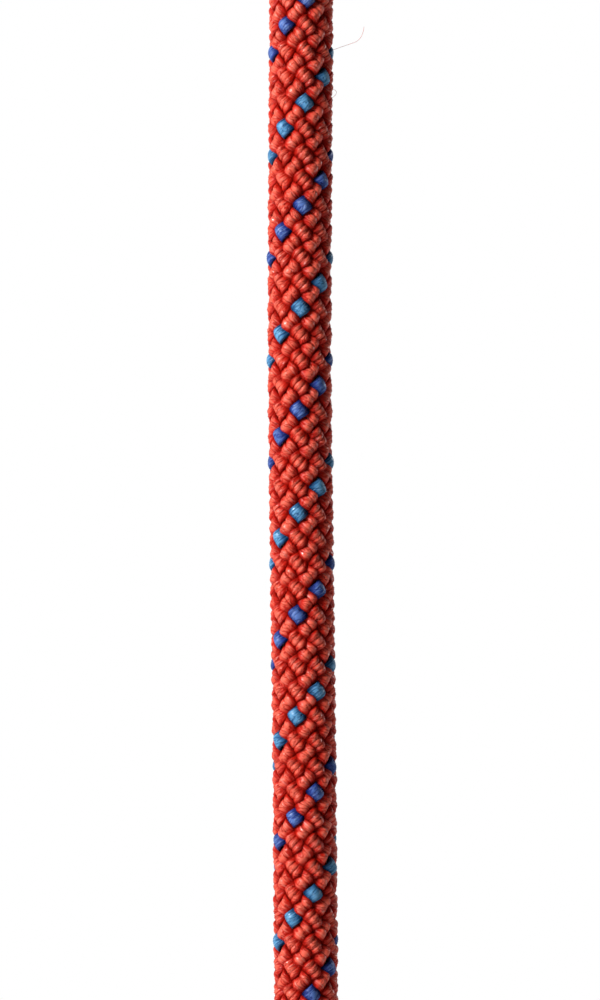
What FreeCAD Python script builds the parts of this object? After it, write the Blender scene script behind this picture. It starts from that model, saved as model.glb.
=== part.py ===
import FreeCAD, Part
import math
import os

# A stretch of kernmantle dynamic climbing rope, hung taut, with both ends
# heat-sealed and sleeved. Millimetres. +Z runs up the rope's axis, -Y is its
# front, and the origin is at the middle of the upper end sleeve.

# Driving dimensions ---------------------------------------------------------
ROPE_DIAMETER = 10.0        # over the crowns of the braid
FREE_LENGTH = 164.0         # taut rope between the two end sleeves
SLEEVE_LENGTH = 28.0        # shrink sleeve on each end
SLEEVE_WALL = 0.3
SLEEVE_GAP = 0.2            # clearance between the braid's crowns and the sleeve
TIP_LENGTH = 4.0            # fused plug that seals each cut end
TIP_DIAMETER = 9.8
TIP_IN_SLEEVE = 1.0         # how far the sleeve reaches over the plug
TIP_ROUNDING = 1.8          # fillet radius on a plug's outer rim

# Sheath: a plain 1-over-1 braid of eight strands each way
STRANDS_EACH_WAY = 8
TRACER_DARK = 1             # the Z strand, counted from 1, dyed dark blue
TRACER_LIGHT = 5            # the Z strand opposite it, dyed light blue
PICK = 3.963                # length of one braid cell along the axis
PICK_TIGHTENING = 2.25e-5   # extra cells per square millimetre further down
WAVE = 0.37                 # how far a strand's middle rises and dips
STRAND_GAP = 0.18           # radial air gap between two crossing strands
EDGE_THICKNESS = 0.08       # a flat strand's thickness at its edges
BRAID_START = -19.4         # height of the first crossing counted from
BRAID_ANGLE = 12.4          # its angle to the right of the front, degrees
TWIST_PER_CELL = 0.682      # slow turn of the whole braid, degrees a cell
TWIST_GAIN = 0.0125         # growth of that turn, degrees a cell squared

# Core: three-ply twisted strands, three in the middle and nine round them
PLY_RADIUS = 0.34
PLY_LAY_RADIUS = 0.44       # from the strand's own axis to each ply's
PLY_PITCH = 12.0
CORE_INNER = (3, 1.0)       # number of strands, radius of their circle
CORE_OUTER = (9, 2.69)
MARKER_RADIUS = 0.13        # thread that carries the year of making

# Spline surfaces: rows of control points along a strand
ROWS_PER_WAVE = 8
SPANS_ACROSS = 2            # over the width of a flat sheath strand
PLY_SIDES = 6               # a ply is a six-sided bar

# Derived places -------------------------------------------------------------
SLEEVE_BORE = ROPE_DIAMETER / 2 + SLEEVE_GAP
SLEEVE_RADIUS = SLEEVE_BORE + SLEEVE_WALL
UPPER_EDGE = -SLEEVE_LENGTH / 2
LOWER_EDGE = UPPER_EDGE - FREE_LENGTH
LOWER_SLEEVE_END = LOWER_EDGE - SLEEVE_LENGTH
TOP = SLEEVE_LENGTH / 2 - TIP_IN_SLEEVE
BOTTOM = LOWER_SLEEVE_END + TIP_IN_SLEEVE
STRAND_HALF = WAVE - STRAND_GAP / 2
BRAID_RADIUS = ROPE_DIAMETER / 2 - WAVE - STRAND_HALF
CELL_ANGLE = 360.0 / STRANDS_EACH_WAY
LEVEL = 1e-4                # two heights closer than this are the same
AXIS = FreeCAD.Vector(0, 0, 1)

os.makedirs("parts", exist_ok=True)


def save(node, shape):
    """Write one node's STEP file and say what it holds."""
    shape.exportStep("parts/" + node + ".step")
    print(f"{node}: {len(shape.Solids)} solid(s), {shape.Volume:.1f} mm3")


def strip(rows, degree_across):
    """Smooth face over rows of control points, one row per height."""
    count = len(rows)
    width = len(rows[0])
    along = [4] + [1] * (count - 4) + [4]
    inner = width - degree_across - 1
    across = [degree_across + 1] + [1] * inner + [degree_across + 1]
    surface = Part.BSplineSurface()
    surface.buildFromPolesMultsKnots(
        rows, along, across, list(range(len(along))), list(range(len(across))),
        False, False, 3, degree_across)
    return surface.toShape()


def closed_bar(strips):
    """Solid inside strips that share their long edges, with flat ends."""
    ends = []
    for z in (TOP, BOTTOM):
        rim = []
        for face in strips:
            rim += [e for e in face.Edges if abs(e.BoundBox.ZMin - z) < LEVEL
                    and e.BoundBox.ZLength < LEVEL]
        ends.append(Part.Face(Part.Wire(Part.__sortEdges__(rim))))
    shell = Part.makeShell(strips + ends)
    shell.sewShape()
    solid = Part.Solid(shell)
    if solid.Volume < 0:
        solid.reverse()
    return solid


def even_steps(spans):
    """Places for the poles of a cubic spline that runs evenly from 0 to spans."""
    return [0, 1 / 3] + list(range(1, spans)) + [spans - 1 / 3, spans]


def heights(spacing):
    """Heights of the rows of poles, from the top of the strands to the bottom."""
    length = TOP - BOTTOM
    spans = round(length / spacing)
    return [TOP - length * step / spans for step in even_steps(spans)]


def cells_down(z):
    """How many braid cells lie between the counted start and a height."""
    depth = BRAID_START - z
    return depth / PICK + PICK_TIGHTENING * depth * depth


def turned_point(across, z, radius):
    """Point at a place round the braid, given in cells, and a radius."""
    k = cells_down(z)
    twist = TWIST_PER_CELL * k + TWIST_GAIN * k * k
    angle = math.radians(BRAID_ANGLE + CELL_ANGLE * across - twist)
    return FreeCAD.Vector(radius * math.sin(angle), -radius * math.cos(angle), z)


def sheath_strand(index, hand):
    """One flat strand that passes over and under every strand it crosses.

    hand is +1 for a Z strand, which climbs to the right as seen from outside,
    and -1 for an S strand. Crossing surfaces run parallel, STRAND_GAP apart.
    """
    reach = math.acos((STRAND_GAP + EDGE_THICKNESS) / 2 / WAVE) / math.pi
    # A cubic surface smooths its control points, which flattens each wave.
    smoothing = (2 + math.cos(2 * math.pi / ROWS_PER_WAVE)) / 3
    pole_wave = WAVE / smoothing
    outside = []
    inside = []
    for z in heights(PICK / ROWS_PER_WAVE):
        k = cells_down(z)
        outer_row = []
        inner_row = []
        for step in even_steps(SPANS_ACROSS):
            across = reach * (2 * step / SPANS_ACROSS - 1)
            place = index - hand * k + across
            wave = hand * pole_wave * math.cos(math.pi * (2 * k - hand * across))
            middle = BRAID_RADIUS + wave
            half = WAVE * math.cos(math.pi * across) - STRAND_GAP / 2
            outer_row.append(turned_point(place, z, middle + half))
            inner_row.append(turned_point(place, z, middle - half))
        outside.append(outer_row)
        inside.append(inner_row)
    left = [[outer[0], inner[0]] for outer, inner in zip(outside, inside)]
    right = [[outer[-1], inner[-1]] for outer, inner in zip(outside, inside)]
    return closed_bar([
        strip(outside, 3), strip(inside, 3), strip(left, 1), strip(right, 1)])


def core_strand(x, y, hand):
    """Three plies laid round each other, twisted one way or the other."""
    plies = []
    for ply in range(3):
        corners = [[] for side in range(PLY_SIDES)]
        for z in heights(PLY_PITCH / ROWS_PER_WAVE):
            lay = 2 * math.pi * (ply / 3 + hand * (TOP - z) / PLY_PITCH)
            middle_x = x + PLY_LAY_RADIUS * math.cos(lay)
            middle_y = y + PLY_LAY_RADIUS * math.sin(lay)
            for side in range(PLY_SIDES):
                turn = 2 * math.pi * side / PLY_SIDES
                corners[side].append(FreeCAD.Vector(
                    middle_x + PLY_RADIUS * math.cos(turn),
                    middle_y + PLY_RADIUS * math.sin(turn), z))
        sides = []
        for side in range(PLY_SIDES):
            pairs = zip(corners[side], corners[(side + 1) % PLY_SIDES])
            sides.append(strip([list(pair) for pair in pairs], 1))
        plies.append(closed_bar(sides))
    return Part.makeCompound(plies)


def end_sleeve(low):
    """Thin shrink sleeve with its outer rims rounded over."""
    base = FreeCAD.Vector(0, 0, low)
    outside = Part.makeCylinder(SLEEVE_RADIUS, SLEEVE_LENGTH, base, AXIS)
    rims = [e for e in outside.Edges if e.Closed]
    outside = outside.makeFillet(SLEEVE_WALL / 2, rims)
    bore = Part.makeCylinder(SLEEVE_BORE, SLEEVE_LENGTH, base, AXIS)
    return outside.cut(bore)


def sealed_tip(face, direction):
    """Plug of fused yarn on a cut end, with a well rounded outer rim."""
    low = min(face, face + direction * TIP_LENGTH)
    base = FreeCAD.Vector(0, 0, low)
    plug = Part.makeCylinder(TIP_DIAMETER / 2, TIP_LENGTH, base, AXIS)
    outer = face + direction * TIP_LENGTH
    rim = [e for e in plug.Edges if e.Closed and abs(e.BoundBox.ZMin - outer) < LEVEL
           and e.BoundBox.ZLength < LEVEL]
    return plug.makeFillet(TIP_ROUNDING, rim)


# Sheath ---------------------------------------------------------------------
for number in range(1, STRANDS_EACH_WAY + 1):
    name = f"sheath_strand_z{number}"
    if number == TRACER_DARK:
        name = "sheath_tracer_dark_blue"
    if number == TRACER_LIGHT:
        name = "sheath_tracer_light_blue"
    save(name, sheath_strand(number - 1, 1))
    save(f"sheath_strand_s{number}", sheath_strand(number - 1, -1))

# Core -----------------------------------------------------------------------
core_number = 0
for ring_count, ring_radius in (CORE_INNER, CORE_OUTER):
    for place in range(ring_count):
        core_number += 1
        angle = 2 * math.pi * place / ring_count
        lay_hand = 1 if core_number % 2 else -1
        strand = core_strand(
            ring_radius * math.cos(angle), ring_radius * math.sin(angle), lay_hand)
        save(f"core_strand_{core_number:02d}", strand)

marker_base = FreeCAD.Vector(0, 0, BOTTOM)
marker = Part.makeCylinder(MARKER_RADIUS, TOP - BOTTOM, marker_base, AXIS)
save("marker_thread", marker)

# Ends -----------------------------------------------------------------------
save("upper_sleeve", end_sleeve(UPPER_EDGE))
save("lower_sleeve", end_sleeve(LOWER_SLEEVE_END))
save("upper_sealed_tip", sealed_tip(TOP, 1))
save("lower_sealed_tip", sealed_tip(BOTTOM, -1))

marker_section = math.pi * MARKER_RADIUS ** 2
print("every cord runs along one straight axis, so there are no bend radii")
print(f"marker thread: {marker.Volume:.2f} mm3 against section times length "
      f"{marker_section * (TOP - BOTTOM):.2f} mm3")
print(f"strands run {TOP - BOTTOM:.1f} mm, from z {TOP:.1f} to {BOTTOM:.1f}")
print(f"rope with tips {TOP - BOTTOM + 2 * TIP_LENGTH:.1f} mm")
print(f"sleeve outside radius {SLEEVE_RADIUS:.2f}, bore {SLEEVE_BORE:.2f}")
print(f"braid mid radius {BRAID_RADIUS:.2f}, strand half thickness {STRAND_HALF:.2f}")
print(f"helix turn of a sheath strand: one in {PICK * STRANDS_EACH_WAY:.1f} mm")
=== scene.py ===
# %% [markdown]
# # A dynamic climbing rope
#
# A climbing rope is a core of twisted strands inside a braided sheath. This
# lesson builds a taut stretch of one: sixteen flat sheath strands that pass
# over and under each other, twelve core strands that they hide, and two
# sealed ends in shrink sleeves.

# %% Load the frame
import bpy, bmesh, math
import numpy as np
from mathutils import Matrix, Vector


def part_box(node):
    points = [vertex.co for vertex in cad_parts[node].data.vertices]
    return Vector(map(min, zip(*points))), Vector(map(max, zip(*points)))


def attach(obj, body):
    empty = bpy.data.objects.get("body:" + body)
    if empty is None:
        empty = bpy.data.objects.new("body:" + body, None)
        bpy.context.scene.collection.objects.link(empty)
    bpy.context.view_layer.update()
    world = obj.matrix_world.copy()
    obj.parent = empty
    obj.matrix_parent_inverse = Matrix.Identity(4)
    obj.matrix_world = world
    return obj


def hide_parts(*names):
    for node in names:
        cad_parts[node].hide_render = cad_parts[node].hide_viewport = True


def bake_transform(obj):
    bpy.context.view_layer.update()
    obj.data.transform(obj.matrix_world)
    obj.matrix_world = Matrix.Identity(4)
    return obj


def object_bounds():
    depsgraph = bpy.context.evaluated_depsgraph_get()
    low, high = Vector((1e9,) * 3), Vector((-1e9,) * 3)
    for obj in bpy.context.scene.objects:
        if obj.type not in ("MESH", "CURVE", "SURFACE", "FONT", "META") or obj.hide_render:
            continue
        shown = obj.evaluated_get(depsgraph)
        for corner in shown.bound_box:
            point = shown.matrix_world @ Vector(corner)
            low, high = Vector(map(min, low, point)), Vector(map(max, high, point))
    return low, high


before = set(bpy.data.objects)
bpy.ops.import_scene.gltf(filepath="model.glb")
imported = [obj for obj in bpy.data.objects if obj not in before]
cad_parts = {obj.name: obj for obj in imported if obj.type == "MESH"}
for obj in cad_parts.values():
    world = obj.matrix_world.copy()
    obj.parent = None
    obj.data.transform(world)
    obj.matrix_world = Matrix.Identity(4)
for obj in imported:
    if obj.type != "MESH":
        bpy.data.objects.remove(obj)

MM = 0.001
CAD_BOX = [list(corner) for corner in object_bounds()]
UPPER_BODY, LOWER_BODY = "upper_rope", "lower_end"

# %% [markdown]
# ## Small helpers
#
# Colours are picked as hex values on a screen, which are sRGB, while the
# renderer mixes light in linear values. One function turns one into the
# other. A second adds a shader node, sets its values and links its inputs. Both
# could be typed out at each use, but then the materials below would be long
# lists of calls in which the finish is hard to see.

# %% Colour and node helpers
def colour(hex_code):
    """Linear RGBA from an sRGB hex code such as '#d23c22'."""
    parts = [int(hex_code[i:i + 2], 16) / 255 for i in (1, 3, 5)]
    linear = [c / 12.92 if c <= 0.04045 else ((c + 0.055) / 1.055) ** 2.4
              for c in parts]
    return (*linear, 1.0)


def add(tree, kind, settings=None, links=None):
    """Add a node; settings fill its sockets or properties, links feed it."""
    node = tree.nodes.new(kind)
    for key, value in (settings or {}).items():
        if isinstance(key, int) or key in node.inputs:
            node.inputs[key].default_value = value
        else:
            setattr(node, key, value)
    for key, source in (links or {}).items():
        tree.links.new(source, node.inputs[key])
    return node


def new_material(name):
    """An empty node material and its tree."""
    material = bpy.data.materials.new(name)
    material.use_nodes = True
    material.node_tree.nodes.clear()
    return material, material.node_tree


print("white is", [round(c, 2) for c in colour("#ffffff")])

# %% [markdown]
# ## Camera
#
# The rope hangs straight down and is seen square on from close by. A wide lens
# near the rope would splay its sides, so a long one is used from further off,
# which keeps them parallel. The view holds a stretch in the middle, both ends
# lie just outside it, and the rope leans a quarter of a degree.

# %% Camera
VIEW_HEIGHT = 154.3 * MM
VIEW_TOP = -19.0 * MM
LENS, SENSOR = 135.0, 36.0
LEAN = math.radians(0.27)
SIDE_SHIFT = -0.62 * MM

camera_data = bpy.data.cameras.new("camera")
camera_data.lens, camera_data.sensor_width = LENS, SENSOR
camera = bpy.data.objects.new("camera", camera_data)
bpy.context.scene.collection.objects.link(camera)
distance = VIEW_HEIGHT / SENSOR * LENS
VIEW_MIDDLE = VIEW_TOP - VIEW_HEIGHT / 2
camera.location = (SIDE_SHIFT, -distance, VIEW_MIDDLE)
camera.rotation_euler = (math.pi / 2, LEAN, 0)
bpy.context.scene.camera = camera
print(f"camera {distance * 1000:.0f} mm away, looking at z {VIEW_MIDDLE * 1000:.1f} mm")

# %% [markdown]
# ## The rope's line
#
# Everything on a rope follows one line. It could be a plain straight axis, but
# even a loaded rope is never quite straight. So it is a NURBS curve through a
# short list of given points: straight inside each sleeve, with a very slight bow
# between them. The strands read their places from points sampled along that
# curve.

# %% Route of the rope
ROUTE = [(0, 0, 13), (0, 0, -14), (-0.30, 0, -42), (-0.62, 0, -72),
         (-0.42, 0, -102), (-0.12, 0, -132), (-0.08, 0, -158), (0, 0, -178),
         (0, 0, -205)]
STRANDS_TOP, STRANDS_BOTTOM = ROUTE[0][2] * MM, ROUTE[-1][2] * MM


def nurbs_line(name, points):
    """A smooth open NURBS curve in metres over points given in millimetres."""
    data = bpy.data.curves.new(name, "CURVE")
    data.dimensions = "3D"
    spline = data.splines.new("NURBS")
    spline.points.add(len(points) - 1)
    for point, place in zip(spline.points, points):
        point.co = (*[value * MM for value in place], 1)
    spline.order_u = 3
    spline.use_endpoint_u = True
    spline.resolution_u = 24
    return bpy.data.objects.new(name, data)


def sampled(curve):
    """The points along a curve that has no bevel."""
    mesh = bpy.data.meshes.new_from_object(curve)
    points = np.array([vertex.co for vertex in mesh.vertices])
    bpy.data.meshes.remove(mesh)
    return points


route = nurbs_line("rope_route", ROUTE)
line = sampled(route)
bpy.data.objects.remove(route)

# %% [markdown]
# ## The braid as a map
#
# Eight strands climb to the right and eight to the left, and where two cross
# one is on top, then the other. Each strand could be drawn as its own helix
# with bumps, but it is easiest to think of the braid unrolled: a checked cloth
# whose cells are an eighth of the rope round and four millimetres long. A
# strand is then a straight band that rises and dips like a wave, and two
# strands can't lose step. One function rolls a place in that cloth round the
# rope's line.

# %% Braid sizes and the map
STRANDS_EACH_WAY = 8
CELL = 3.963            # length of one cell, mm
CELL_TIGHTENING = 2.25e-5
BRAID_START = -19.4     # where cells are counted from, mm
BRAID_ANGLE = 12.4      # degrees right of the front there
TWIST, TWIST_GAIN = 0.682, 0.0125
CELL_ANGLE = 360 / STRANDS_EACH_WAY


def cells_down(z_mm):
    """Number of braid cells between the start and a height in mm."""
    depth = BRAID_START - z_mm
    return depth / CELL + CELL_TIGHTENING * depth * depth


def rolled(place, z_mm, radius_mm):
    """Points in metres for places round the braid, counted in cells."""
    k = cells_down(z_mm)
    turn = BRAID_ANGLE + CELL_ANGLE * place - TWIST * k - TWIST_GAIN * k * k
    turn = np.radians(turn)
    z = z_mm * MM
    upward = line[::-1]
    x = np.interp(z, upward[:, 2], upward[:, 0]) + radius_mm * MM * np.sin(turn)
    y = np.interp(z, upward[:, 2], upward[:, 1]) - radius_mm * MM * np.cos(turn)
    return np.column_stack([x, y, z])


print(f"a strand goes once round in {CELL * STRANDS_EACH_WAY:.1f} mm")

# %% [markdown]
# ## A yarn
#
# Each strand is a flat bundle of two or three yarns side by side. A yarn could
# be a curve with a round bevel, but then it couldn't flatten under a crossing.
# So it starts as a plain cylinder, its long edges are cut into many rings with
# subdivide_edges, and each ring is then moved to its place in the braid. The
# cylinder's own round and along coordinates stay on the mesh as an attribute,
# so the finish can run its fine filaments along the yarn.

# %% Yarn blank
RING_STEP = 0.33        # mm between rings
YARN_SIDES = 12


def yarn_blank(length_mm, sides=YARN_SIDES, step=RING_STEP):
    """A closed cylinder along Z with many rings, its middle at z 0."""
    bm = bmesh.new()
    bmesh.ops.create_cone(bm, cap_ends=True, cap_tris=False, segments=sides,
                          radius1=1, radius2=1, depth=length_mm)
    long_edges = [e for e in bm.edges
                  if abs(e.verts[0].co.z - e.verts[1].co.z) > length_mm / 2]
    rings = round(length_mm / step) - 1
    bmesh.ops.subdivide_edges(bm, edges=long_edges, cuts=rings, use_grid_fill=True)
    for face in bm.faces:
        face.smooth = len(face.verts) == 4
    return bm


def coordinates(mesh):
    """Vertex places of a mesh as an array."""
    places = np.empty(len(mesh.vertices) * 3)
    mesh.vertices.foreach_get("co", places)
    return places.reshape(-1, 3)


def finished(name, bms):
    """One object from several bmeshes."""
    mesh = bpy.data.meshes.new(name)
    whole = bmesh.new()
    for bm in bms:
        single = bpy.data.meshes.new("single")
        bm.to_mesh(single)
        whole.from_mesh(single)
        bpy.data.meshes.remove(single)
        bm.free()
    whole.to_mesh(mesh)
    whole.free()
    piece = bpy.data.objects.new(name, mesh)
    bpy.context.scene.collection.objects.link(piece)
    return piece


STRAND_LENGTH = (STRANDS_TOP - STRANDS_BOTTOM) / MM
STRAND_MIDDLE = (STRANDS_TOP + STRANDS_BOTTOM) / 2 / MM
blank = yarn_blank(STRAND_LENGTH)
print(f"a yarn blank has {len(blank.verts)} vertices and {len(blank.faces)} faces")
blank.free()

# %% [markdown]
# ## Sheath strands
#
# Where a strand is on top its yarns are plump, and where another presses on
# it they are flatter. That shape could come from a cloth simulation, but a wave
# with a chosen height, narrowness and plumpness is quick and easy to match to a
# real rope. Every crossing also differs a little in a real braid, so a smooth,
# seeded wobble moves each yarn by a few hundredths of a millimetre. S strands
# carry two thick yarns and Z strands three, and the two blue tracers, which are
# Z strands, one wide flat yarn each.

# %% Shape of the sheath
CROWN_RADIUS = 5.06     # over the highest yarns, mm
RISE = 0.80             # how far a strand rises and dips from its middle
NARROWNESS = 1.35        # above 1 the crowns are narrow and the valleys wide
TRACER_NARROWNESS = 0.7
SPREAD = 0.34           # how much wider a strand lies on top than below
PLUMP, PRESSED = 0.44, 0.20     # half thickness of a yarn on top and below
MIDDLE_RADIUS = CROWN_RADIUS - RISE - PLUMP
Z_YARNS = (0.35, 0.37, 0.35)    # widths of the yarns in a strand, in cells
S_YARNS = (0.64, 0.44)
TRACER_YARNS = (1.02,)
TRACER_PLUMP = 0.55     # a tracer stands a little proud
OVERLAP = 1.14          # how far neighbouring yarns merge into each other
DROOP = 0.05            # how far the edges of a strand on top hang down
WOBBLE = 0.035          # mm
WIDTH_WOBBLE, SIDE_WOBBLE = 0.08, 0.014     # share of a width, and cells
# Painted shade: how much darker the edges of strands and yarns are painted.
EDGE_SHADE = 0.2        # how much deeper the edges of strands and yarns look
WIDE_YARN = 0.4         # half width in cells from which a yarn counts as wide
WIDE_FIBRES = 2.5       # times as many clumps of filaments across a wide one
random = np.random.default_rng(7)


def uneven(cells):
    """A random value for each crossing, joined smoothly along the strand."""
    steps = np.arange(math.floor(cells.min()), math.ceil(cells.max()) + 2, 0.5)
    values = random.normal(0, 1, len(steps))
    return np.interp(cells, steps, values)

# %% [markdown]
# ## One yarn in the braid
#
# A yarn on top is round and proud, and under a crossing it is pressed flat
# and sinks. Both come from one cosine that runs along the strand. Each ring
# of the blank reads its height, thickness and width from that wave, and the
# height stays on the mesh for the finish, which paints shade down in the
# crossings and at the edges of strands and yarns, and a lit tone on the crowns.

# %% Yarns and strands
def sheath_yarn(index, hand, middle, half_width, plump, narrowness):
    """One yarn of a strand as a bmesh, with its place in the braid."""
    wide = half_width > WIDE_YARN
    bm = yarn_blank(STRAND_LENGTH, YARN_SIDES * (2 if wide else 1))
    mesh = bpy.data.meshes.new("yarn")
    bm.to_mesh(mesh)
    bm.free()
    flat = coordinates(mesh)
    z = flat[:, 2] + STRAND_MIDDLE
    z = np.clip(z, STRANDS_BOTTOM / MM, STRANDS_TOP / MM)
    k = cells_down(z)
    wave = hand * np.cos(math.pi * (2 * k - hand * middle))
    spread = 1 + SPREAD * (0.5 * wave - 0.2)
    sideways = half_width * (1 + WIDTH_WOBBLE * uneven(k))
    across = spread * (middle + sideways * flat[:, 0]) + SIDE_WOBBLE * uneven(k)
    wave = hand * np.cos(math.pi * (2 * k - hand * across))
    on_top = 0.5 + 0.5 * wave
    wave = np.sign(wave) * np.abs(wave) ** narrowness
    thick = PRESSED + (plump - PRESSED) * on_top ** 1.5
    lens = (np.abs(across) / 0.5) ** 2.2 * on_top
    radius = (MIDDLE_RADIUS + RISE * wave + thick * flat[:, 1]
              - DROOP * lens + WOBBLE * uneven(k))
    placed = rolled(index - hand * k + across, z, radius)
    mesh.vertices.foreach_set("co", placed.ravel())
    yarn = mesh.attributes.new("yarn", "FLOAT_VECTOR", "POINT")
    fibre = np.column_stack([flat[:, 0] * (WIDE_FIBRES if wide else 1), flat[:, 1], z])
    yarn.data.foreach_set("vector", fibre.ravel())
    # The height attribute carries painted shade: low in the crossings, high on the crowns.
    height = mesh.attributes.new("height", "FLOAT", "POINT")
    # Painted shade at the edges of strands and yarns: their height is lowered there.
    edges = EDGE_SHADE * ((np.abs(across) / 0.5) ** 3 + np.abs(flat[:, 0]) ** 4)
    height.data.foreach_set("value", on_top - edges)
    made = bmesh.new()
    made.from_mesh(mesh)
    bpy.data.meshes.remove(mesh)
    bmesh.ops.recalc_face_normals(made, faces=made.faces)
    return made


def sheath_strand(name, index, hand, widths, plump=PLUMP, narrowness=NARROWNESS,
                  strays=()):
    """A strand of yarns side by side; their widths are in cells."""
    edge = -sum(widths) / 2
    bms = list(strays)
    merged = OVERLAP if len(widths) > 1 else 1.0
    for width in widths:
        bms.append(sheath_yarn(index, hand, edge + width / 2, width / 2 * merged,
                               plump, narrowness))
        edge += width
    return finished(name, bms)

# %% [markdown]
# ## Stray filaments
#
# A used rope is never quite clean: two single filaments have been pulled out
# of the sheath and stand off it. A hair system could make them, but two are
# few enough to place one by one. Each is a thin cylinder whose rings are moved
# onto a short curve.

# %% Stray filaments
STRAY_RADIUS = 0.03     # mm
STRAY_SIDES, STRAY_RINGS = 6, 25
STRAY_FIBRES = [
    [(4.6, 0, -26.8), (6.6, -0.1, -26.1), (9.4, -0.2, -25.2), (9.6, -0.3, -23.2)],
    [(4.5, 0, -32.7), (5.3, -0.1, -32.9), (5.3, -0.1, -33.7), (4.5, 0, -34.2)]]


def stray_fibre(points):
    """A single filament that stands off the sheath along a given curve."""
    curve = nurbs_line("stray", points)
    path = sampled(curve)
    bpy.data.objects.remove(curve)
    bm = yarn_blank(1, STRAY_SIDES, 1 / STRAY_RINGS)
    mesh = bpy.data.meshes.new("fibre")
    bm.to_mesh(mesh)
    bm.free()
    flat = coordinates(mesh)
    along = np.linspace(0, 1, len(path))
    ahead = np.gradient(path, axis=0)
    side = np.column_stack([-ahead[:, 2], 0 * along, ahead[:, 0]])
    side /= np.linalg.norm(side, axis=1)[:, None]
    places = np.empty_like(flat)
    for axis in range(3):
        across = np.interp(flat[:, 2] + 0.5, along, side[:, axis])
        offset = flat[:, 0] * across + flat[:, 1] * (axis == 1)
        places[:, axis] = (np.interp(flat[:, 2] + 0.5, along, path[:, axis])
                           + offset * STRAY_RADIUS * MM)
    mesh.vertices.foreach_set("co", places.ravel())
    # A height of one gives the painted lit tone all over, with no painted shade.
    height = mesh.attributes.new("height", "FLOAT", "POINT")
    height.data.foreach_set("value", np.ones(len(flat)))
    made = bmesh.new()
    made.from_mesh(mesh)
    bpy.data.meshes.remove(mesh)
    bmesh.ops.recalc_face_normals(made, faces=made.faces)
    return made

# %% [markdown]
# ## Sixteen strands
#
# A braiding machine carries sixteen bobbins round the core, eight each way. Two
# opposite bobbins hold blue yarn, which gives a rope its look and lets a
# climber see which way it turns. One loop stands for the machine.

# %% Braid the sheath
z_strands, s_strands = [], []
for number in range(1, STRANDS_EACH_WAY + 1):
    tracer = {1: "dark_blue", 5: "light_blue"}.get(number)
    if tracer:
        strand = sheath_strand(f"tracer_{tracer}", number - 1, 1, TRACER_YARNS,
                               TRACER_PLUMP, TRACER_NARROWNESS)
    else:
        strand = sheath_strand(f"strand_z{number}", number - 1, 1, Z_YARNS)
    z_strands.append(strand)
    strays = [stray_fibre(points) for points in STRAY_FIBRES] if number == 3 else ()
    s_strands.append(sheath_strand(f"strand_s{number}", number - 1, -1, S_YARNS,
                                   strays=strays))
print("sheath:", sum(len(o.data.polygons) for o in z_strands + s_strands), "faces")

# %% [markdown]
# ## Core strands
#
# The core carries the load and gives the stretch. Each strand is three plies
# laid round each other, and half of them are laid the other way so that the
# rope doesn't spin under a climber. One bar inside would fill the sheath as
# well, but a cut through the rope or a view along it would then be wrong.

# %% Core
PLY_RADIUS, PLY_LAY_RADIUS, PLY_PITCH = 0.36, 0.42, 12.0    # mm
PLIES = 3
CORE_RINGS = ((3, 1.0), (9, 2.69))      # strands in a ring, its radius in mm
MARKER_RADIUS = 0.13    # mm
PLY_SIDES, PLY_STEP = 10, 0.8


def straight_yarn(x, y, lay_radius, lay_phase, hand, radius):
    """A thin round yarn that winds about a straight line beside the axis."""
    bm = yarn_blank(STRAND_LENGTH, PLY_SIDES, PLY_STEP)
    mesh = bpy.data.meshes.new("ply")
    bm.to_mesh(mesh)
    bm.free()
    flat = coordinates(mesh)
    z = np.clip(flat[:, 2] + STRAND_MIDDLE, STRANDS_BOTTOM / MM, STRANDS_TOP / MM)
    lay = lay_phase + hand * 2 * math.pi * (STRANDS_TOP / MM - z) / PLY_PITCH
    px = x + lay_radius * np.cos(lay) + radius * flat[:, 0]
    py = y + lay_radius * np.sin(lay) + radius * flat[:, 1]
    upward = line[::-1]
    px = px * MM + np.interp(z * MM, upward[:, 2], upward[:, 0])
    py = py * MM + np.interp(z * MM, upward[:, 2], upward[:, 1])
    mesh.vertices.foreach_set("co", np.column_stack([px, py, z * MM]).ravel())
    yarn = mesh.attributes.new("yarn", "FLOAT_VECTOR", "POINT")
    yarn.data.foreach_set("vector", np.column_stack([flat[:, :2], z]).ravel())
    # A height of one gives the painted lit tone all over, with no painted shade.
    height = mesh.attributes.new("height", "FLOAT", "POINT")
    height.data.foreach_set("value", np.ones(len(flat)))
    made = bmesh.new()
    made.from_mesh(mesh)
    bpy.data.meshes.remove(mesh)
    return made


core_strands = []
for count, circle in CORE_RINGS:
    for place in range(count):
        angle = 2 * math.pi * place / count
        x, y = circle * math.cos(angle), circle * math.sin(angle)
        hand = 1 if len(core_strands) % 2 == 0 else -1
        plies = [straight_yarn(x, y, PLY_LAY_RADIUS, 2 * math.pi * ply / PLIES, hand,
                               PLY_RADIUS) for ply in range(PLIES)]
        core_strands.append(finished(f"core_{len(core_strands) + 1:02d}", plies))
marker = finished("marker", [straight_yarn(0, 0, 0, 0, 1, MARKER_RADIUS)])
print("core:", len(core_strands), "strands and a marker thread")

# %% [markdown]
# ## Polyamide yarn
#
# The sheath is polyamide 6 filament, dyed before it is braided. Hundreds of
# fine filaments lie side by side. Four things tell the eye that it is yarn and
# not plastic. The tones are painted light and shade: the crowns are painted
# lighter as if lit, and the crossings are painted a deeper, darker red as
# shade, for light that enters between the yarns comes back deeper in colour.
# Folds split a yarn into clumps, with painted shade in their creases. Streaks
# run along it where the filaments vary, and they shift the painted light and
# shade too. Small glints sit on the crowns, where single filaments catch the
# lamp.
#
# Real filaments could be modelled as hair, but they are about 0.03 mm across,
# too fine to show. So they are drawn by noise that is stretched along the yarn,
# ten times as coarse as the real ones.

# %% Yarn finish
WRINKLES = 0.9          # folds over half the width of a yarn
CREASE = 0.06           # how wide a fold is against the noise that draws it
CREASE_SHADE = 0.66     # light left at the bottom of a fold
FILAMENTS = 3.5         # clumps of filaments over half the width of a yarn


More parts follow.
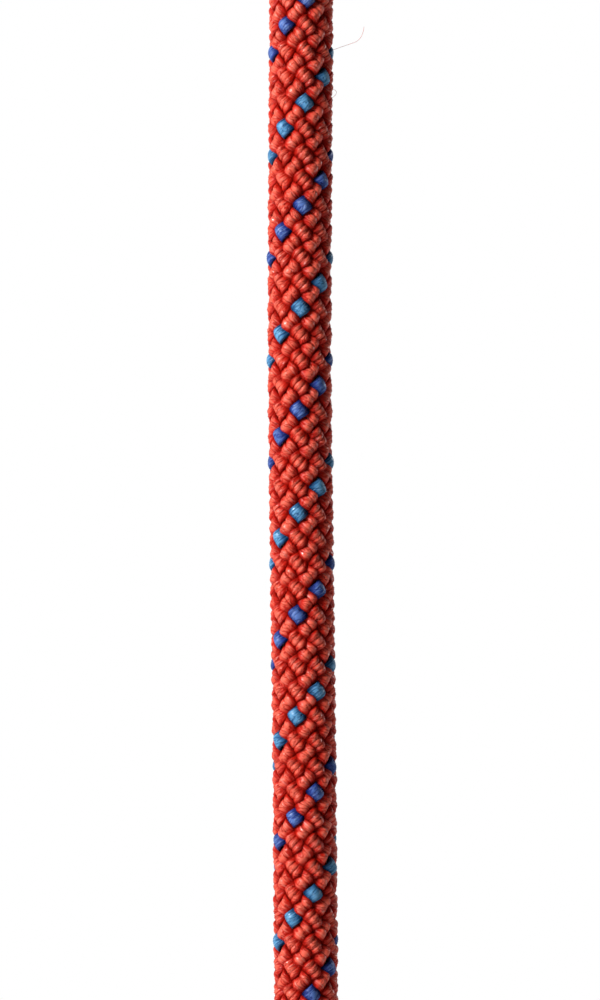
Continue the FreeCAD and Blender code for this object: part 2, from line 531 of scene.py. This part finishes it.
def yarn_material(name, light, body, deep, streak=0.28):
    """Dyed filament yarn, painted a lit tone on the crowns and painted shade down in the
    crossings.
    """
    material, tree = new_material(name)
    place = add(tree, "ShaderNodeAttribute", {"attribute_name": "yarn"})
    high = add(tree, "ShaderNodeAttribute", {"attribute_name": "height"})
    across = add(tree, "ShaderNodeMapping", {"Scale": (WRINKLES, WRINKLES, 0.8)},
                 {"Vector": place.outputs["Vector"]})
    folds = add(tree, "ShaderNodeTexNoise", {"Scale": 1.0, "Detail": 1.0,
                "Roughness": 0.5, "Distortion": 0.8}, {"Vector": across.outputs["Vector"]})
    away = add(tree, "ShaderNodeMath", {"operation": "SUBTRACT", 1: 0.5},
               {0: folds.outputs["Fac"]})
    size = add(tree, "ShaderNodeMath", {"operation": "ABSOLUTE"},
               {0: away.outputs["Value"]})
    crease = add(tree, "ShaderNodeMapRange", {"From Max": CREASE},
                 {"Value": size.outputs["Value"]})
    finer = add(tree, "ShaderNodeMapping", {"Scale": (FILAMENTS, FILAMENTS, 0.7)},
                {"Vector": place.outputs["Vector"]})
    lines = add(tree, "ShaderNodeTexNoise", {"Scale": 1.0, "Detail": 2.0},
                {"Vector": finer.outputs["Vector"]})
    patches = add(tree, "ShaderNodeTexNoise", {"Scale": 2.2, "Detail": 2.0},
                  {"Vector": place.outputs["Vector"]})
    # Painted shade: a low height gives darker tones in the crossings and at the edges, and a
    # high one gives the lit tone on the crowns.
    depth = add(tree, "ShaderNodeMapRange", {"From Min": 0.35, "From Max": 0.95},
                {"Value": high.outputs["Fac"]})
    # Painted shade in the creases of the folds, on top of their bump.
    open_part = add(tree, "ShaderNodeMapRange", {"To Min": CREASE_SHADE},
                    {"Value": crease.outputs["Result"]})
    lit = add(tree, "ShaderNodeMath", {"operation": "MULTIPLY"},
              {0: depth.outputs["Result"], 1: open_part.outputs["Result"]})
    # Streaks along the filaments vary the tone and also shift the painted light and shade.
    streaks = add(tree, "ShaderNodeMapRange", {"To Min": -streak, "To Max": streak},
                  {"Value": lines.outputs["Fac"]})
    level = add(tree, "ShaderNodeMath", {"operation": "ADD"},
                {0: lit.outputs["Value"], 1: streaks.outputs["Result"]})
    # The ramp runs from painted shade through the body tone to the painted lit tone.
    shades = add(tree, "ShaderNodeValToRGB", links={"Fac": level.outputs["Value"]})
    low, top = shades.color_ramp.elements
    low.position, low.color = 0.05, colour(deep)
    top.position, top.color = 0.95, colour(light)
    shades.color_ramp.elements.new(0.55).color = colour(body)
    glints = add(tree, "ShaderNodeMapRange", {"From Min": 0.56, "From Max": 0.66,
                 "To Min": 0.35, "To Max": 1.7}, {"Value": lines.outputs["Fac"]})
    shine = add(tree, "ShaderNodeMath", {"operation": "MULTIPLY"},
                {0: lit.outputs["Value"], 1: glints.outputs["Result"]})
    relief = add(tree, "ShaderNodeMath", {"operation": "MULTIPLY_ADD", 1: 0.3},
                 {0: lines.outputs["Fac"], 2: crease.outputs["Result"]})
    rough = add(tree, "ShaderNodeMapRange", {"From Min": 0.35, "From Max": 0.55,
                "To Min": 0.24, "To Max": 0.65}, {"Value": patches.outputs["Fac"]})
    bump = add(tree, "ShaderNodeBump", {"Strength": 1.0, "Distance": 0.11 * MM},
               {"Height": relief.outputs["Value"]})
    shader = add(tree, "ShaderNodeBsdfPrincipled", {
        "IOR": 1.53, "Sheen Weight": 0.12, "Sheen Roughness": 0.45,
        "Sheen Tint": colour(light)}, {
        "Base Color": shades.outputs["Color"], "Roughness": rough.outputs["Result"],
        "Specular IOR Level": shine.outputs["Value"],
        "Normal": bump.outputs["Normal"]})
    add(tree, "ShaderNodeOutputMaterial", links={"Surface": shader.outputs["BSDF"]})
    return material

# %% [markdown]
# ## Five colours of yarn
#
# Each colour is three tones: a painted lit tone on the crowns, the body tone,
# and a painted shade tone down between the yarns. The two blues are streaky,
# because their yarns are laid flat and their filaments lie open. The core stays
# undyed, as it never sees the sun, and the marker thread is polyester in a clear
# yellow that tells the year of making.

# %% Yarn colours
# Each call gives a painted lit tone for the crowns, the body tone, and a painted shade tone
# for the crossings, then the strength of the streaks.
orange_red = yarn_material("polyamide_yarn_orange_red", "#f3644d", "#c91c0b", "#8c0903")
dark_blue = yarn_material("polyamide_yarn_dark_blue", "#5374bc", "#243a8e", "#0f1a50", 0.7)
light_blue = yarn_material("polyamide_yarn_light_blue", "#5fa0d0", "#2b6498", "#113056", 0.7)
core_white = yarn_material("polyamide_yarn_undyed", "#f4f1e8", "#e4e0d4", "#b8b4a8")
marker_yellow = yarn_material("polyester_thread_yellow", "#f2cf3a", "#d9ae20", "#8a6a10")
print("yarn finishes: 5, with", WRINKLES, "folds to half a yarn")

# %% [markdown]
# ## End sleeves
#
# A black shrink sleeve grips the last stretch of the rope, and takes on a
# faint print of the braid below it. The print could be a bump in the finish,
# but it shows at the sleeve's edges, so it is real: a bare tube has its wall
# pressed in over the valleys, and is given its thickness last.

# %% Sleeves
upper_sleeve_box, lower_sleeve_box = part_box("upper_sleeve"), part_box("lower_sleeve")
SLEEVE_WALL = 0.30      # mm
PRINT_DEPTH = 0.09      # how deep the braid prints the sleeve, mm
PRINT_FADE = 3.0        # the print fades over this much at each rim, mm
RIM_TURN, RIM_LENGTH = 0.10, 0.6    # how the rims curl in, mm
SLEEVE_RINGS = 110


def shrink_sleeve(name, box):
    """A thin tube with rounded rims, its wall printed by the braid."""
    low, high = box[0][2], box[1][2]
    radius = (box[1][0] - box[0][0]) / 2
    wall = SLEEVE_WALL * MM
    bm = bmesh.new()
    bmesh.ops.create_cone(bm, cap_ends=False, segments=96, radius1=radius,
                          radius2=radius, depth=high - low)
    bmesh.ops.translate(bm, verts=bm.verts, vec=(0, 0, (low + high) / 2))
    long_edges = [e for e in bm.edges
                  if abs(e.verts[0].co.z - e.verts[1].co.z) > wall]
    bmesh.ops.subdivide_edges(bm, edges=long_edges, cuts=SLEEVE_RINGS,
                               use_grid_fill=True)
    for vertex in bm.verts:
        z_mm = vertex.co.z / MM
        turn = math.degrees(math.atan2(vertex.co.x, -vertex.co.y))
        k = float(cells_down(z_mm))
        place = (turn - BRAID_ANGLE + TWIST * k + TWIST_GAIN * k * k) / CELL_ANGLE
        crown = math.cos(2 * math.pi * k) * math.cos(2 * math.pi * place)
        edge = min(vertex.co.z - low, high - vertex.co.z) / MM
        depth = PRINT_DEPTH * (0.5 - 0.5 * crown) * min(1, edge / PRINT_FADE)
        rim = RIM_TURN * max(0.0, 1 - edge / RIM_LENGTH) ** 2
        shrink = 1 - (depth + rim) * MM / radius
        vertex.co.x *= shrink
        vertex.co.y *= shrink
    bmesh.ops.recalc_face_normals(bm, faces=bm.faces)
    bmesh.ops.solidify(bm, geom=bm.faces, thickness=wall)
    for face in bm.faces:
        face.smooth = True
    return finished(name, [bm])


sleeves = [shrink_sleeve("sleeve_upper", upper_sleeve_box),
           shrink_sleeve("sleeve_lower", lower_sleeve_box)]
print("sleeves:", [len(o.data.polygons) for o in sleeves])

# %% [markdown]
# ## Sealed tips
#
# A cut rope is sealed with a hot knife: core and sheath melt into one plug,
# with a rounded rim and a face that set in ripples. A sculpted plug would be
# truer, but it is only nine millimetres across. So it starts as a cylinder
# whose rim is bevelled, and its face is inset a few times so that there are
# rings for the ripples to pull in.

# %% Sealed tips
upper_tip_box, lower_tip_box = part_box("upper_sealed_tip"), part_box("lower_sealed_tip")
TIP_BEVEL = 1.7         # rounding of the plug's rim, mm
TIP_RINGS, RIPPLES = 6, 6
RIPPLE_DEPTH, RIPPLE_SHRINK = 0.035, 0.004      # mm, and share of the radius


def sealed_tip(name, box, outward):
    """A domed plug of melted yarn with an uneven, rippled face."""
    low, high = box[0][2], box[1][2]
    radius = (box[1][0] - box[0][0]) / 2
    bm = bmesh.new()
    bmesh.ops.create_cone(bm, cap_ends=True, segments=64, radius1=radius,
                          radius2=radius, depth=high - low)
    bmesh.ops.translate(bm, verts=bm.verts, vec=(0, 0, (low + high) / 2))
    face_z = high if outward > 0 else low
    rim = [e for e in bm.edges
           if all(abs(v.co.z - face_z) < 1e-6 for v in e.verts)]
    bmesh.ops.bevel(bm, geom=rim, offset=TIP_BEVEL * MM, segments=8, affect="EDGES",
                    profile=0.5, material=-1)
    cap = max((f for f in bm.faces if f.normal.z * outward > 0.9),
              key=lambda f: f.calc_area())
    for _ in range(TIP_RINGS):
        bmesh.ops.inset_region(bm, faces=[cap], thickness=radius * 0.09)
    phases = np.random.default_rng(11).uniform(0, 2 * math.pi, RIPPLES)
    for vertex in bm.verts:
        turn = math.atan2(vertex.co.y, vertex.co.x)
        out = math.hypot(vertex.co.x, vertex.co.y) / radius
        ripple = sum(math.sin((n + 2) * turn + phases[n] + 5 * out)
                     for n in range(RIPPLES))
        reach = abs(vertex.co.z - (low if outward > 0 else high)) / (high - low)
        if reach > 0.3:
            vertex.co.z -= outward * abs(ripple) * RIPPLE_DEPTH * MM * reach
            vertex.co.x *= 1 - RIPPLE_SHRINK * abs(ripple)
            vertex.co.y *= 1 - RIPPLE_SHRINK * abs(ripple)
    for face in bm.faces:
        face.smooth = True
    return finished(name, [bm])


tips = [sealed_tip("tip_upper", upper_tip_box, 1),
        sealed_tip("tip_lower", lower_tip_box, -1)]
print("tips:", [len(o.data.polygons) for o in tips])

# %% [markdown]
# ## Finishes of the ends
#
# The sleeve is black polyolefin tube: satin, with a faint mottle that breaks
# up the lamp's reflection, so it doesn't look like paint. The plug is fused
# polyamide: darker and glossier than the yarn, with scorched swirls that show
# it was melted. Flat colours would do from afar, but look moulded close up, so
# one noise drives colour, roughness and bump together.

# %% Sleeve and melt finishes
MOTTLE, SWIRL = 0.9 / MM, 0.45 / MM     # noise cells per metre


def sleeve_material():
    """Black shrink tube: satin, faintly mottled where it cooled."""
    material, tree = new_material("polyolefin_shrink_tube_black")
    where = add(tree, "ShaderNodeTexCoord")
    mottle = add(tree, "ShaderNodeTexNoise", {"Scale": MOTTLE, "Detail": 4.0},
                 {"Vector": where.outputs["Object"]})
    shade = add(tree, "ShaderNodeValToRGB", links={"Fac": mottle.outputs["Fac"]})
    shade.color_ramp.elements[0].color = colour("#151517")
    shade.color_ramp.elements[1].color = colour("#242427")
    rough = add(tree, "ShaderNodeMapRange", {"To Min": 0.28, "To Max": 0.46},
                {"Value": mottle.outputs["Fac"]})
    bump = add(tree, "ShaderNodeBump", {"Strength": 0.25, "Distance": 0.03 * MM},
               {"Height": mottle.outputs["Fac"]})
    shader = add(tree, "ShaderNodeBsdfPrincipled", {"IOR": 1.5}, {
        "Base Color": shade.outputs["Color"], "Roughness": rough.outputs["Result"],
        "Normal": bump.outputs["Normal"]})
    add(tree, "ShaderNodeOutputMaterial", links={"Surface": shader.outputs["BSDF"]})
    return material


def melt_material():
    """Fused polyamide: dark red glassy melt with scorched patches."""
    material, tree = new_material("fused_polyamide_red")
    where = add(tree, "ShaderNodeTexCoord")
    swirl = add(tree, "ShaderNodeTexNoise", {"Scale": SWIRL, "Detail": 5.0,
                "Distortion": 1.2}, {"Vector": where.outputs["Object"]})
    shade = add(tree, "ShaderNodeValToRGB", links={"Fac": swirl.outputs["Fac"]})
    stops = shade.color_ramp.elements
    stops[0].position, stops[0].color = 0.35, colour("#3a0d08")
    stops[1].position, stops[1].color = 0.65, colour("#a3241a")
    rough = add(tree, "ShaderNodeMapRange", {"To Min": 0.18, "To Max": 0.5},
                {"Value": swirl.outputs["Fac"]})
    bump = add(tree, "ShaderNodeBump", {"Strength": 0.5, "Distance": 0.12 * MM},
               {"Height": swirl.outputs["Fac"]})
    shader = add(tree, "ShaderNodeBsdfPrincipled", {"IOR": 1.53}, {
        "Base Color": shade.outputs["Color"], "Roughness": rough.outputs["Result"],
        "Normal": bump.outputs["Normal"]})
    add(tree, "ShaderNodeOutputMaterial", links={"Surface": shader.outputs["BSDF"]})
    return material


shrink_black, fused = sleeve_material(), melt_material()
print("end finishes:", shrink_black.name, fused.name)

# %% [markdown]
# ## Putting the rope on its frame
#
# Strands run from the upper end to the lower one, and the lower end slides
# down as the rope stretches. A strand that rode on one body would tear off the
# other, so the strands ride on neither and keep the places they were built in.
# Each sleeve and tip rides on the body of its end.

# %% Finishes and rides
pieces = []


def dress(piece, material, node):
    """Give a piece its finish, and hide the CAD node it stands in for."""
    piece.data.materials.clear()
    piece.data.materials.append(material)
    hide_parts(node)
    pieces.append(piece)


for number, (z_strand, s_strand) in enumerate(zip(z_strands, s_strands), 1):
    dress(s_strand, orange_red, f"sheath_strand_s{number}")
    if number == 1:
        dress(z_strand, dark_blue, "sheath_tracer_dark_blue")
    elif number == 5:
        dress(z_strand, light_blue, "sheath_tracer_light_blue")
    else:
        dress(z_strand, orange_red, f"sheath_strand_z{number}")
for number, strand in enumerate(core_strands, 1):
    dress(strand, core_white, f"core_strand_{number:02d}")
dress(marker, marker_yellow, "marker_thread")
for piece in pieces:
    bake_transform(piece)

for piece, body, end in ((sleeves[0], UPPER_BODY, "upper"), (sleeves[1], LOWER_BODY, "lower")):
    dress(piece, shrink_black, f"{end}_sleeve")
    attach(piece, body)
for piece, body, end in ((tips[0], UPPER_BODY, "upper"), (tips[1], LOWER_BODY, "lower")):
    dress(piece, fused, f"{end}_sealed_tip")
    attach(piece, body)
print(len(pieces), "pieces stand for", len(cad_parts), "nodes")

# %% [markdown]

# %% [markdown]
# ## Floor and surroundings
#
# A plain pale floor lies well below the hanging rope, and the surroundings
# are white. A white room with real walls would need far more light to look as
# even, so the surroundings show white to the camera alone, and give the rope
# only a little light.

# %% Floor and surroundings
FLOOR_DROP, FLOOR_RADIUS = 0.075, 0.8       # metres
FILL_LIGHT = 0.055      # the surroundings' share of the light on the rope
floor_z = CAD_BOX[0][2] - FLOOR_DROP
bm = bmesh.new()
bmesh.ops.create_circle(bm, cap_ends=True, segments=96, radius=FLOOR_RADIUS)
bmesh.ops.translate(bm, verts=bm.verts, vec=(0, 0, floor_z))
floor = finished("floor", [bm])
floor_material, tree = new_material("matt_painted_floor")
shader = add(tree, "ShaderNodeBsdfPrincipled", {"Base Color": colour("#f2f1ee"),
             "Roughness": 0.8})
add(tree, "ShaderNodeOutputMaterial", links={"Surface": shader.outputs["BSDF"]})
floor.data.materials.append(floor_material)

world = bpy.data.worlds.new("white_studio")
bpy.context.scene.world = world
world.use_nodes = True
world.node_tree.nodes.clear()
tree = world.node_tree
seen = add(tree, "ShaderNodeLightPath")
white = add(tree, "ShaderNodeBackground", {"Color": colour("#ffffff"), "Strength": 1.0})
fill = add(tree, "ShaderNodeBackground", {"Color": colour("#f4f2f0"),
           "Strength": FILL_LIGHT})
both = add(tree, "ShaderNodeMixShader", links={0: seen.outputs["Is Camera Ray"],
           1: fill.outputs[0], 2: white.outputs[0]})
add(tree, "ShaderNodeOutputWorld", links={"Surface": both.outputs[0]})
bpy.context.scene.view_settings.view_transform = "Standard"


print("floor at", round(floor_z * 1000), "mm")

# %% [markdown]
# ## Lamps
#
# Even light from all sides would flatten the braid. One large soft lamp high
# on the left front models it, and its shade falls to the right. Two weak
# lamps behind put a thin rim on both edges.

# %% Lamps
def area_light(name, azimuth, height, away, size, watts):
    """A square soft lamp aimed at the middle of the view, in metres and degrees."""
    data = bpy.data.lights.new(name, "AREA")
    data.shape, data.size, data.energy = "SQUARE", size, watts
    lamp = bpy.data.objects.new(name, data)
    angle = math.radians(azimuth)
    lamp.location = (away * math.sin(angle), -away * math.cos(angle), height)
    aim = np.array([0, 0, VIEW_MIDDLE]) - np.array(lamp.location)
    lamp.rotation_euler = (math.acos(-aim[2] / np.linalg.norm(aim)), 0,
                           math.atan2(-aim[0], aim[1]))
    bpy.context.scene.collection.objects.link(lamp)
    return lamp


area_light("key", azimuth=-54, height=0.26, away=0.75, size=0.25, watts=8.8)
area_light("rim_right", azimuth=125, height=0.0, away=0.7, size=0.25, watts=1.3)
area_light("rim_left", azimuth=-125, height=0.0, away=0.7, size=0.25, watts=0.5)
